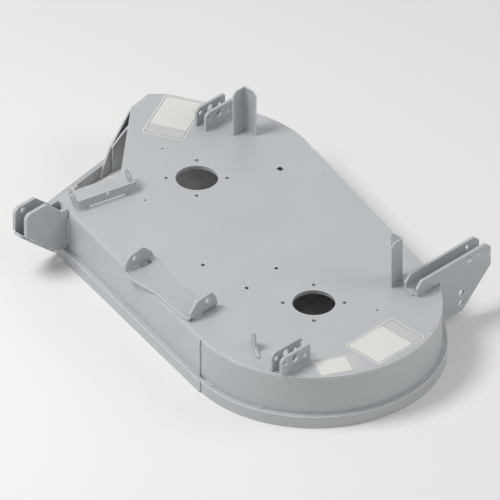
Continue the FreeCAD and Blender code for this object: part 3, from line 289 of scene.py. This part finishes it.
def labelPiece(node, border):
    mesh = mergedCopy(node)
    top = max(mesh.faces, key=lambda face: face.normal.z * face.calc_area())
    for width, inside in zip(border, (inkSlot, filmSlot)):
        bmesh.ops.inset_region(mesh, faces=[top], thickness=width, use_even_offset=True)
        top.material_index = inside
    middle = top.calc_center_median()
    longWay = longestWay(top)
    reach = max((corner.co - middle).dot(longWay) for corner in top.verts)
    cut = middle + longWay * reach * (1 - 2 * label["band"])
    parts = bmesh.ops.bisect_plane(mesh, geom=[top] + list(top.edges) + list(top.verts),
                                   plane_co=cut, plane_no=longWay)
    for face in parts["geom"]:
        if isinstance(face, bmesh.types.BMFace) and (face.calc_center_median() - cut).dot(longWay) > 0:
            face.material_index = fieldSlot
    data = bpy.data.meshes.new(camelName(node))
    mesh.to_mesh(data)
    mesh.free()
    for coat in labelCoats:
        data.materials.append(coat)
    piece = addObject(camelName(node), data)
    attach(piece, "root")
    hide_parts(node)


for node, kind in labelBorders.items():
    labelPiece(node, label[kind])
print("labels printed", len(labelBorders))


# Weld beads

weld = {
    "radius": 0.0042,            # about a 5 mm fillet
    "ripple": 0.0032,            # one ripple of the bead for each pulse of the torch
    "ringsPerRipple": 4,
    "rippleDepth": 0.13,         # share of the radius
    "lean": 0.75,                # how far a ripple's crest runs ahead of its sides
    "tip": 0.02,                 # keeps the very end of a bead from closing to a point
    "sides": 10,
    "wander": 0.00035,           # how far the hand strays
    "wanderSize": 0.009,
    "margin": 0.006,             # a run is left bare for so much at both ends
    "shortest": 0.014,
    "corner": math.radians(50.0),    # a run ends where its bead would turn more than this
    "reach": 0.001,              # plates closer than this are welded to each other
    "probe": 0.010,              # long edges are tested piece by piece
    "facing": 0.7,               # how squarely a face has to press on the other plate
    "turned": 0.5,               # how far a face has to be turned to a side to count as that side's
    "samePoint": 0.00001,
}


def surfaceOf(node):
    mesh = bmesh.new()
    mesh.from_mesh(frame["nodes"][node].data)
    tree = BVHTree.FromBMesh(mesh)
    mesh.free()
    return tree


def splitEdges(mesh):
    for edge in list(mesh.edges):
        start = edge.verts[0]
        for left in range(int(edge.calc_length() / weld["probe"]), 1, -1):
            _, start = bmesh.utils.edge_split(edge, start, 1.0 / left)


def seamSides(edge, surface):
    # The face of the edge that stays free, and the one that is pressed to the other plate
    start, end = (corner.co for corner in edge.verts)
    hits = [surface.find_nearest(spot, weld["reach"]) for spot in (start, end, start.lerp(end, 0.5))]
    if any(hit[0] is None for hit in hits):
        return None
    plateNormal = hits[-1][1]
    pressed, free = sorted((face.normal for face in edge.link_faces), key=plateNormal.dot)
    if pressed.dot(plateNormal) > -weld["facing"] or free.dot(plateNormal) < -weld["facing"]:
        return None
    return free.copy(), pressed.copy()


def takeFollowing(bulgeOf, tip, bulge):
    # Takes the seam edges that go on from a corner without a sharp turn, and tells where they end
    taken = []
    while True:
        following = [edge for edge in tip.link_edges if edge in bulgeOf]
        if len(following) != 1 or bulgeOf[following[0]].angle(bulge) > weld["corner"]:
            return taken, tip
        bulge = bulgeOf.pop(following[0])
        taken.append((following[0], bulge))
        tip = following[0].other_vert(tip)


def takeRun(bulgeOf):
    # Takes one run of seam edges: its points, and the way that the bead bulges at each of them
    first = next(iter(bulgeOf))
    bulge = bulgeOf.pop(first)
    after, _ = takeFollowing(bulgeOf, first.verts[1], bulge)
    before, corner = takeFollowing(bulgeOf, first.verts[0], bulge)
    run = before[::-1] + [(first, bulge)] + after
    points = [corner.co.copy()]
    for edge, _ in run:
        corner = edge.other_vert(corner)
        points.append(corner.co.copy())
    ways = [way for _, way in run]
    between = [(way + following).normalized() for way, following in zip(ways, ways[1:])]
    return points, [ways[0]] + between + [ways[-1]]


def seamRuns(node, others, onSide):
    # The runs of edges along which a plate meets the others, on the side that gets the beads
    mesh = mergedCopy(node)
    splitEdges(mesh)
    bulgeOf = {}
    for surface in [surfaceOf(other) for other in others]:
        for edge in mesh.edges:
            sides = seamSides(edge, surface) if len(edge.link_faces) == 2 else None
            if sides is not None and onSide(edge.verts[0].co, sides[0]):
                bulgeOf[edge] = (sides[0] - sides[1]).normalized()
    runs = []
    while bulgeOf:
        runs.append(takeRun(bulgeOf))
    mesh.free()
    return runs


def stretchOf(points, bulges, start, end):
    # The part of a run between two distances along it
    spots = []
    gone = 0.0
    for (here, there), (bulge, nextBulge) in zip(zip(points, points[1:]), zip(bulges, bulges[1:])):
        length = (there - here).length
        inside = (max(start - gone, 0.0), min(end - gone, length))
        if inside[0] < inside[1]:
            for way in inside:
                share = way / length
                spots.append((here.lerp(there, share), bulge.lerp(nextBulge, share).normalized()))
        gone += length
    kept = [spots[0]]
    for spot in spots[1:]:
        if (spot[0] - kept[-1][0]).length > weld["samePoint"]:
            kept.append(spot)
    return kept


def stitched(runs, size, stitch, gap):
    # Cuts each run into stitches of about one length, or leaves it as one bead where none is given
    beads = []
    for points, bulges in runs:
        length = sum((there - here).length for here, there in zip(points, points[1:]))
        first, last = weld["margin"], length - weld["margin"]
        span = last - first
        if span < weld["shortest"]:
            continue
        count = 1 if stitch is None else max(1, round((span + gap) / (stitch + gap)))
        each = span if stitch is None else min(stitch, span)
        pitch = (span - each) / (count - 1) if count > 1 else 0.0
        begin = first if count > 1 else (first + last - each) / 2
        for place in range(count):
            start = begin + pitch * place
            beads.append((stretchOf(points, bulges, start, start + each), size))
    return beads


beadInputs = {
    "Radius": weld["radius"], "Ripple": weld["ripple"], "Ripple depth": weld["rippleDepth"],
    "Lean": weld["lean"], "Wander": weld["wander"], "Wander size": weld["wanderSize"],
    "Rings per ripple": weld["ringsPerRipple"], "Sides": weld["sides"], "Coat": weldCoat,
}
socketKinds = {float: "NodeSocketFloat", int: "NodeSocketInt",
               bpy.types.Material: "NodeSocketMaterial"}


def beadTree():
    tree = bpy.data.node_groups.new("weldBead", "GeometryNodeTree")
    tree.interface.new_socket("Bead", in_out="OUTPUT", socket_type="NodeSocketGeometry")
    tree.interface.new_socket("Seam", in_out="INPUT", socket_type="NodeSocketGeometry")
    for name, value in beadInputs.items():
        tree.interface.new_socket(name, in_out="INPUT", socket_type=socketKinds[type(value)])
    given = addNode(tree, "NodeGroupInput").outputs

    # A line of points along the seam, some for each ripple
    seam = addNode(tree, "GeometryNodeMeshToCurve", {"Mesh": given["Seam"]})
    step = addNode(tree, "ShaderNodeMath", {0: given["Ripple"], 1: given["Rings per ripple"]},
                   operation="DIVIDE")
    line = addNode(tree, "GeometryNodeResampleCurve", {"Curve": seam, "Length": step}, mode="LENGTH")
    kept = addNode(tree, "GeometryNodeCaptureAttribute")
    bulge = addNode(tree, "GeometryNodeInputNamedAttribute", {"Name": "bulge"},
                    data_type="FLOAT_VECTOR")
    for name, source in (("centre", addNode(tree, "GeometryNodeInputPosition")),
                         ("along", addNode(tree, "GeometryNodeInputTangent")),
                         ("bulge", bulge)):
        kept.capture_items.new("VECTOR", name)
        tree.links.new(source.outputs[0], kept.inputs[name])
    tree.links.new(line.outputs["Curve"], kept.inputs["Geometry"])

    # Each ripple is full at its crest and hollow half a ripple on
    gone = addNode(tree, "GeometryNodeSplineParameter").outputs["Length"]
    ripples = addNode(tree, "ShaderNodeMath", {0: gone, 1: given["Ripple"]}, operation="DIVIDE")
    phase = addNode(tree, "ShaderNodeMath", {0: ripples, 1: math.tau}, operation="MULTIPLY")
    wave = addNode(tree, "ShaderNodeMath", {0: phase}, operation="COSINE")
    hollow = addNode(tree, "ShaderNodeMath", {0: wave, 1: -0.5, 2: 0.5}, operation="MULTIPLY_ADD")
    depth = addNode(tree, "ShaderNodeMath", {0: hollow, 1: given["Ripple depth"]},
                    operation="MULTIPLY")
    crest = addNode(tree, "ShaderNodeMath", {0: 1.0, 1: depth}, operation="SUBTRACT")

    # Both ends of a bead are round
    whole = addNode(tree, "GeometryNodeSplineLength").outputs["Length"]
    rest = addNode(tree, "ShaderNodeMath", {0: whole, 1: gone}, operation="SUBTRACT")
    toEnd = addNode(tree, "ShaderNodeMath", {0: gone, 1: rest}, operation="MINIMUM")
    radii = addNode(tree, "ShaderNodeMath", {0: toEnd, 1: given["Radius"]}, operation="DIVIDE")
    inside = addNode(tree, "ShaderNodeMath", {0: radii, 1: 1.0}, operation="MINIMUM")
    short = addNode(tree, "ShaderNodeMath", {0: 1.0, 1: inside}, operation="SUBTRACT")
    square = addNode(tree, "ShaderNodeMath", {0: short, 1: short}, operation="MULTIPLY")
    arc = addNode(tree, "ShaderNodeMath", {0: 1.0 + weld["tip"], 1: square}, operation="SUBTRACT")
    roundEnd = addNode(tree, "ShaderNodeMath", {0: arc}, operation="SQRT")
    size = addNode(tree, "GeometryNodeInputNamedAttribute", {"Name": "size"}, data_type="FLOAT")
    shape = addNode(tree, "ShaderNodeMath", {0: crest, 1: roundEnd}, operation="MULTIPLY")
    scale = addNode(tree, "ShaderNodeMath", {0: shape, 1: size}, operation="MULTIPLY")
    profile = addNode(tree, "GeometryNodeCurvePrimitiveCircle",
                      {"Resolution": given["Sides"], "Radius": given["Radius"]}, mode="RADIUS")
    tube = addNode(tree, "GeometryNodeCurveToMesh", {
        "Curve": kept.outputs["Geometry"], "Profile Curve": profile, "Scale": scale,
        "Fill Caps": True})

    # What bulges out runs ahead, as the pool freezes behind the torch, and the hand strays a little
    here = addNode(tree, "GeometryNodeInputPosition")
    fromCentre = addNode(tree, "ShaderNodeVectorMath", {0: here, 1: kept.outputs["centre"]},
                         operation="SUBTRACT")
    out = addNode(tree, "ShaderNodeVectorMath", {0: fromCentre, 1: kept.outputs["bulge"]},
                  operation="DOT_PRODUCT")
    lead = addNode(tree, "ShaderNodeMath", {0: out.outputs["Value"], 1: given["Lean"]},
                   operation="MULTIPLY")
    ahead = addNode(tree, "ShaderNodeVectorMath", {0: kept.outputs["along"], "Scale": lead},
                    operation="SCALE")
    often = addNode(tree, "ShaderNodeMath", {0: 1.0, 1: given["Wander size"]}, operation="DIVIDE")
    noise = addNode(tree, "ShaderNodeTexNoise", {"Vector": here, "Scale": often})
    stray = addNode(tree, "ShaderNodeVectorMath", {0: noise.outputs["Color"], 1: (0.5, 0.5, 0.5)},
                    operation="SUBTRACT")
    reach = addNode(tree, "ShaderNodeMath", {0: given["Wander"], 1: 2.0}, operation="MULTIPLY")
    drift = addNode(tree, "ShaderNodeVectorMath", {0: stray, "Scale": reach}, operation="SCALE")
    offset = addNode(tree, "ShaderNodeVectorMath", {0: ahead, 1: drift}, operation="ADD")
    moved = addNode(tree, "GeometryNodeSetPosition", {"Geometry": tube, "Offset": offset})
    smooth = addNode(tree, "GeometryNodeSetShadeSmooth", {"Geometry": moved})
    real = addNode(tree, "GeometryNodeRealizeInstances", {"Geometry": smooth})
    coated = addNode(tree, "GeometryNodeSetMaterial", {"Geometry": real, "Material": given["Coat"]})
    addNode(tree, "NodeGroupOutput", {"Bead": coated})
    return tree


weldBead = beadTree()


def weldPiece(name, beads):
    corners, links, sizes = [], [], []
    for spots, size in beads:
        first = len(corners)
        links += [(place, place + 1) for place in range(first, first + len(spots) - 1)]
        corners += spots
        sizes += [size] * len(spots)
    seam = bpy.data.meshes.new(name)
    seam.from_pydata([spot for spot, _ in corners], links, [])
    seam.attributes.new("bulge", "FLOAT_VECTOR", "POINT").data.foreach_set(
        "vector", [value for _, way in corners for value in way])
    seam.attributes.new("size", "FLOAT", "POINT").data.foreach_set("value", sizes)
    piece = addObject(name, seam)
    modifier = piece.modifiers.new("weldBead", "NODES")
    modifier.node_group = weldBead
    for socket in weldBead.interface.items_tree:
        if socket.name in beadInputs:
            modifier[socket.identifier] = beadInputs[socket.name]
    applyModifiers(piece)
    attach(piece, "root")
    print(name, "stitches", len(beads), "faces", len(piece.data.polygons))


spindles = [Vector(mount["pos_m"]) for mount in frame["record"]["mounts"]
            if mount["name"].endswith("spindle_bore")]


def nearestAxis(spot):
    # The point between the spindles that lies nearest, at the spot's own level
    start, end = spindles
    share = min(1.0, max(0.0, (spot - start).dot(end - start) / (end - start).length_squared))
    middle = start.lerp(end, share)
    return Vector((middle.x, middle.y, spot.z))


# Which edges get a bead, by a spot on the seam and by the way that the plate's free face looks

def anySide(spot, free):
    return True


def upperSide(spot, free):
    return free.z > weld["turned"]


def endSide(spot, free):
    return abs(free.z) < weld["turned"]


def leftSide(spot, free):
    return free.x > weld["turned"]


def rightSide(spot, free):
    return free.x < -weld["turned"]


def outerSide(spot, free):
    return free.dot(spot - nearestAxis(spot)) > 0


def innerSide(spot, free):
    return free.dot(spot - nearestAxis(spot)) < 0


walls = ("left_chamber_wall", "right_chamber_wall", "rear_wall", "right_rear_wall")
bands = ("front_band", "left_band", "rear_band", "right_band")
skin = walls + ("deck_plate", "discharge_front_return")

# Each row: node, what it is welded to, side, share of the bead's radius, length of a stitch and gap
# to the next, with None and 0.0 for one unbroken bead
bracketSeams = (
    ("front_lug_left", ("deck_plate",), leftSide, 1.0, 0.030, 0.022),
    ("front_lug_right", ("deck_plate",), rightSide, 1.0, 0.030, 0.022),
    ("rear_lug_left", ("deck_plate",), leftSide, 1.0, 0.030, 0.022),
    ("rear_lug_right", ("deck_plate",), rightSide, 1.0, 0.030, 0.022),
    ("hanger_saddle", ("deck_plate",), anySide, 1.0, 0.036, 0.050),
    ("chute_hinge_bracket", ("deck_plate",), anySide, 0.9, 0.030, 0.040),
    ("rear_bracket_channel", ("deck_plate",), anySide, 1.0, 0.036, 0.050),
    ("rear_bracket_channel", ("rear_bracket_gusset",), anySide, 0.7, 0.036, 0.030),
    ("rear_bracket_gusset", skin + bands, anySide, 1.0, 0.040, 0.020),
    ("front_bracket_left_plate", skin + bands, leftSide, 1.0, 0.040, 0.020),
    ("front_bracket_right_plate", skin + bands, anySide, 1.0, 0.040, 0.020),
    ("left_guard_angle", ("deck_plate",), anySide, 0.65, None, 0.0),
    ("right_guard_angle", ("deck_plate",), anySide, 0.65, None, 0.0),
    ("spring_anchor", ("deck_plate",), anySide, 0.65, None, 0.0),
)
bandSeams = tuple((band, skin, upperSide, 0.8, 0.025, 0.125) for band in bands)
chamberSeams = tuple((wall, ("deck_plate",), innerSide, 0.9, 0.050, 0.060) for wall in walls) + (
    ("rear_wall", ("left_chamber_wall", "right_chamber_wall"), endSide, 0.9, None, 0.0),
    ("right_rear_wall", ("right_chamber_wall",), endSide, 0.9, None, 0.0),
    ("left_spindle_doubler", ("deck_plate",), outerSide, 0.8, 0.030, 0.050),
    ("right_spindle_doubler", ("deck_plate",), outerSide, 0.8, 0.030, 0.050),
    ("discharge_front_return", skin, anySide, 0.7, 0.030, 0.040),
)

for name, seams, slotName in (("bracketWelds", bracketSeams, "bracket_coat"),
                              ("bandWelds", bandSeams, "deck_coat"),
                              ("chamberWelds", chamberSeams, "deck_coat")):
    beads = []
    for node, others, onSide, size, stitch, gap in seams:
        beads += stitched(seamRuns(node, others, onSide), size, stitch, gap)
    weldPiece(name, beads)


# Studio

camera = {
    "azimuth": 45.0,             # the drawing is isometric
    "elevation": 35.264,
    "target": (0.279, -0.113, 0.0),
    "pictureWidth": 1.1,         # metres across the picture at the target
    "lens": 1500.0,              # a very long lens, so that parallel edges stay parallel
    "sensor": 36.0,
    "clipEnd": 200.0,
}

lamps = {
    "key": {"direction": (-0.50, -0.75, 1.35), "distance": 4.0, "size": 1.6, "power": 94.0},
    "rim": {"direction": (0.9, 0.9, 0.8), "distance": 4.0, "size": 2.5, "power": 26.0},
}

backdrop = {
    "floorColor": "F1F1EF",
    "floorSize": 30.0,
    "floorRoughness": 0.9,
    "floorSpecular": 0.2,
    "worldColor": "FFFFFF",
    "worldStrength": 0.42,       # for the light on the deck
    "worldSeen": 1.0,            # for the camera and for reflections, where 1 is white
}


def lookFrom(azimuthDegrees, elevationDegrees):
    azimuth = math.radians(azimuthDegrees)
    elevation = math.radians(elevationDegrees)
    return Vector((math.sin(azimuth) * math.cos(elevation),
                   -math.cos(azimuth) * math.cos(elevation), math.sin(elevation)))


def placeCamera():
    data = bpy.data.cameras.new("camera")
    data.lens = camera["lens"]
    data.sensor_width = camera["sensor"]
    data.clip_end = camera["clipEnd"]
    back = lookFrom(camera["azimuth"], camera["elevation"])
    distance = camera["pictureWidth"] * camera["lens"] / camera["sensor"]
    view = addObject("camera", data)
    view.location = Vector(camera["target"]) + back * distance
    view.rotation_euler = back.to_track_quat("Z", "Y").to_euler()
    bpy.context.scene.camera = view


def placeLamp(name, lamp):
    data = bpy.data.lights.new(name, "AREA")
    data.shape = "DISK"
    data.size = lamp["size"]
    data.energy = lamp["power"]
    way = Vector(lamp["direction"]).normalized()
    light = addObject(name, data)
    light.location = Vector(camera["target"]) + way * lamp["distance"]
    light.rotation_euler = way.to_track_quat("Z", "Y").to_euler()


def placeWorld():
    world = bpy.data.worlds.new("studioWorld")
    world.use_nodes = True
    tree = world.node_tree
    tree.nodes.clear()
    rays = addNode(tree, "ShaderNodeLightPath").outputs
    mirrored = addNode(tree, "ShaderNodeMath", {
        0: rays["Is Glossy Ray"], 1: rays["Is Transmission Ray"]}, operation="MAXIMUM")
    seen = addNode(tree, "ShaderNodeMath", {
        0: rays["Is Camera Ray"], 1: mirrored}, operation="MAXIMUM")
    strength = addNode(tree, "ShaderNodeMapRange", {
        "Value": seen, "To Min": backdrop["worldStrength"], "To Max": backdrop["worldSeen"]})
    light = addNode(tree, "ShaderNodeBackground", {
        "Color": linearColor(backdrop["worldColor"]), "Strength": strength.outputs["Result"]})
    addNode(tree, "ShaderNodeOutputWorld", {"Surface": light.outputs["Background"]})
    bpy.context.scene.world = world


def floorMaterial():
    # Seamless studio paper: matt and plain
    material, tree = emptyMaterial("studioPaper")
    shader = addNode(tree, "ShaderNodeBsdfPrincipled", {
        "Base Color": linearColor(backdrop["floorColor"]), "Roughness": backdrop["floorRoughness"],
        "Specular IOR Level": backdrop["floorSpecular"]})
    addNode(tree, "ShaderNodeOutputMaterial", {"Surface": shader.outputs["BSDF"]})
    return material


def placeFloor():
    half = backdrop["floorSize"] / 2
    level = cadBox[0].z
    data = bpy.data.meshes.new("floor")
    data.from_pydata([(-half, -half, level), (half, -half, level), (half, half, level),
                      (-half, half, level)], [], [(0, 1, 2, 3)])
    data.materials.append(floorMaterial())
    addObject("floor", data)


placeCamera()
for name, lamp in lamps.items():
    placeLamp(name, lamp)
placeWorld()
placeFloor()
bpy.context.scene.view_settings.view_transform = "Standard"
print("studio set")
